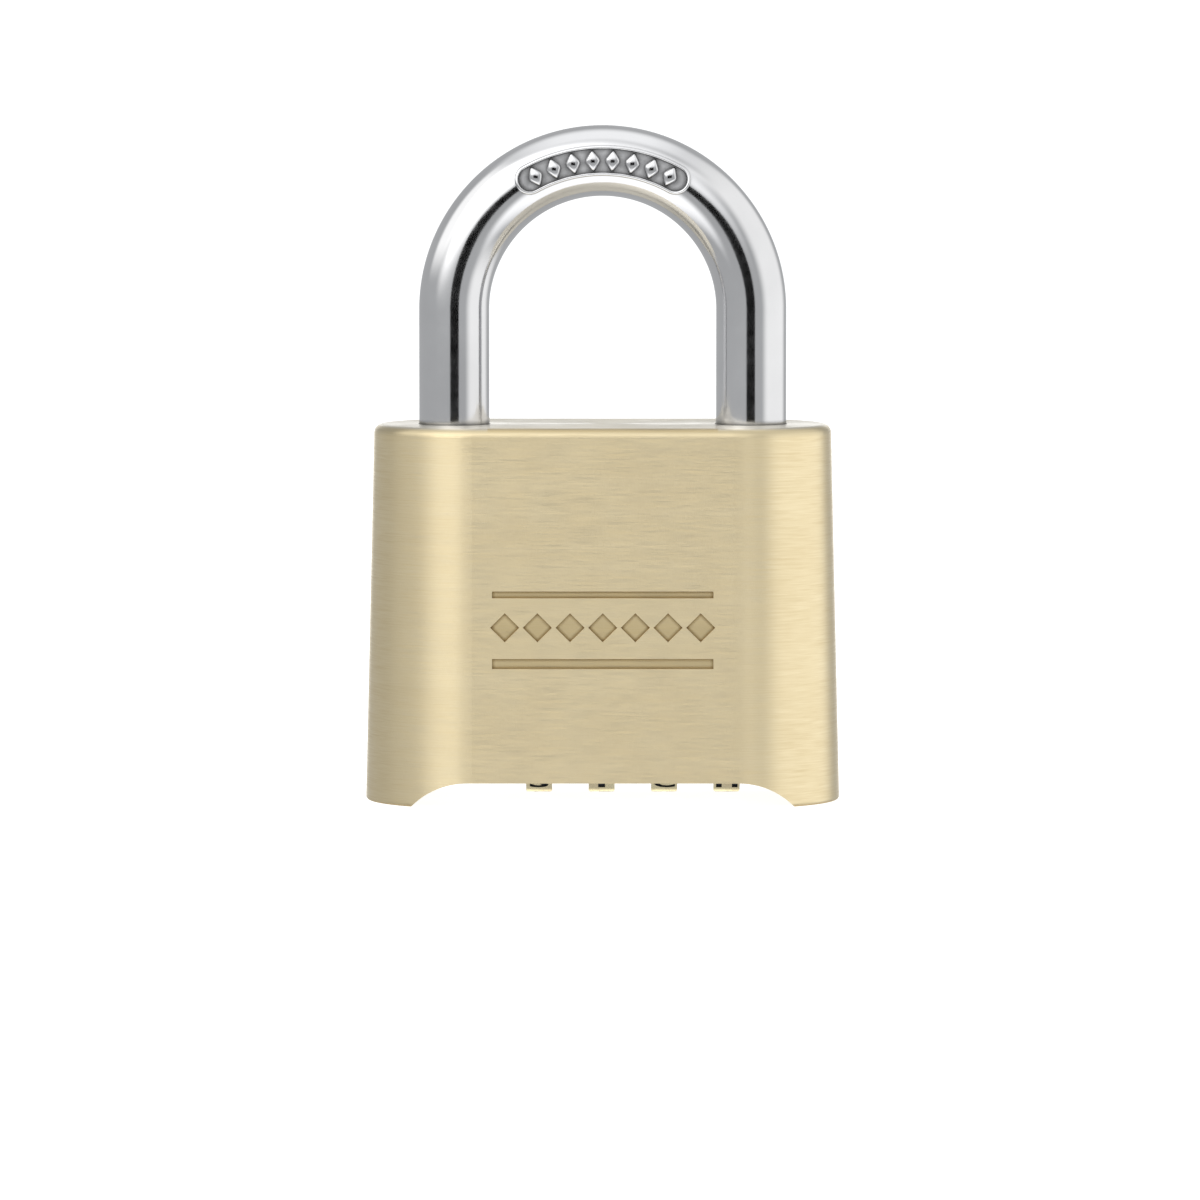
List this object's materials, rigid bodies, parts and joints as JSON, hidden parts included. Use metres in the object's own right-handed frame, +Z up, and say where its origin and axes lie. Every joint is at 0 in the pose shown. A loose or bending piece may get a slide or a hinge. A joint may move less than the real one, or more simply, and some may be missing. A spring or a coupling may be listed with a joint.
{
  "type": "combination padlock",
  "caption": "Brass combination padlock with a plated shackle, dial wheels under the case that set the code, and a plunger for changing it.",
  "frame": {"origin": "centre of the case on the plane of its two feet", "axes": "+X to the right seen from the front, towards the toe of the shackle; +Y to the back; +Z up through the shackle"},
  "size_m": [0.0528, 0.0238, 0.0751],
  "materials": {
    "case_brass": "fine horizontal brushing, clear lacquer",
    "cast_brass": "golden cast surface, slightly grainy",
    "dial_brass": "turned pale brass, black paint in the engraved characters",
    "shackle_chrome": "bright plating",
    "inner_steel": "bare machined steel",
    "black_seal": "soft black seal"
  },
  "bodies": {
    "case": {"lock_body": "case_brass", "dial_plate": "cast_brass", "plate_gasket": "black_seal", "carrier_cap": "cast_brass", "cap_screws": "inner_steel", "retaining_pins": "case_brass", "detent_comb": "inner_steel", "shackle_spring": "inner_steel", "spindle_spring": "inner_steel"},
    "shackle_body": {"shackle": "shackle_chrome", "locking_bar": "inner_steel"},
    "plunger_body": {"change_plunger": "inner_steel"},
    "spindle_body": {"spindle": "inner_steel", "spindle_clips": "inner_steel"},
    "dial_1": {"dial_ring_1": "dial_brass"},
    "cam_1": {"dial_sleeve_1": "dial_brass"},
    "dial_2": {"dial_ring_2": "dial_brass"},
    "cam_2": {"dial_sleeve_2": "dial_brass"},
    "dial_3": {"dial_ring_3": "dial_brass"},
    "cam_3": {"dial_sleeve_3": "dial_brass"},
    "dial_4": {"dial_ring_4": "dial_brass"},
    "cam_4": {"dial_sleeve_4": "dial_brass"}
  },
  "joints": [
    {"name": "shackle_lift", "type": "slide", "parent": "case", "child": "shackle_body", "axis": [0, 0, 1], "range_m": [0, 0.0105], "deforming": ["shackle_spring"]},
    {"name": "change_press", "type": "slide", "parent": "case", "child": "plunger_body", "axis": [0, 0, -1], "range_m": [0, 0.0012], "stiffness_N_per_m": 300, "springref_m": -0.001},
    {"name": "spindle_shift", "type": "slide", "parent": "case", "child": "spindle_body", "axis": [-1, 0, 0], "range_m": [0, 0.0012], "deforming": ["spindle_spring"]},
    {"name": "dial_spin_1", "type": "hinge", "parent": "case", "child": "dial_1", "pos_m": [-0.00708, 0, 0.0083], "axis": [1, 0, 0], "continuous": true, "deforming": ["detent_comb"]},
    {"name": "cam_spin_1", "type": "hinge", "parent": "spindle_body", "child": "cam_1", "pos_m": [-0.00708, 0, 0.0083], "axis": [1, 0, 0], "continuous": true},
    {"name": "dial_spin_2", "type": "hinge", "parent": "case", "child": "dial_2", "pos_m": [-0.00012, 0, 0.0083], "axis": [1, 0, 0], "continuous": true, "deforming": ["detent_comb"]},
    {"name": "cam_spin_2", "type": "hinge", "parent": "spindle_body", "child": "cam_2", "pos_m": [-0.00012, 0, 0.0083], "axis": [1, 0, 0], "continuous": true},
    {"name": "dial_spin_3", "type": "hinge", "parent": "case", "child": "dial_3", "pos_m": [0.00684, 0, 0.0083], "axis": [1, 0, 0], "continuous": true, "deforming": ["detent_comb"]},
    {"name": "cam_spin_3", "type": "hinge", "parent": "spindle_body", "child": "cam_3", "pos_m": [0.00684, 0, 0.0083], "axis": [1, 0, 0], "continuous": true},
    {"name": "dial_spin_4", "type": "hinge", "parent": "case", "child": "dial_4", "pos_m": [0.0138, 0, 0.0083], "axis": [1, 0, 0], "continuous": true, "deforming": ["detent_comb"]},
    {"name": "cam_spin_4", "type": "hinge", "parent": "spindle_body", "child": "cam_4", "pos_m": [0.0138, 0, 0.0083], "axis": [1, 0, 0], "continuous": true}
  ],
  "couplings": [
    {"joint": "spindle_shift", "follows": "change_press", "ratio": 1},
    {"joint": "cam_spin_1", "follows": "dial_spin_1", "ratio": 1},
    {"joint": "cam_spin_2", "follows": "dial_spin_2", "ratio": 1},
    {"joint": "cam_spin_3", "follows": "dial_spin_3", "ratio": 1},
    {"joint": "cam_spin_4", "follows": "dial_spin_4", "ratio": 1}
  ]
}
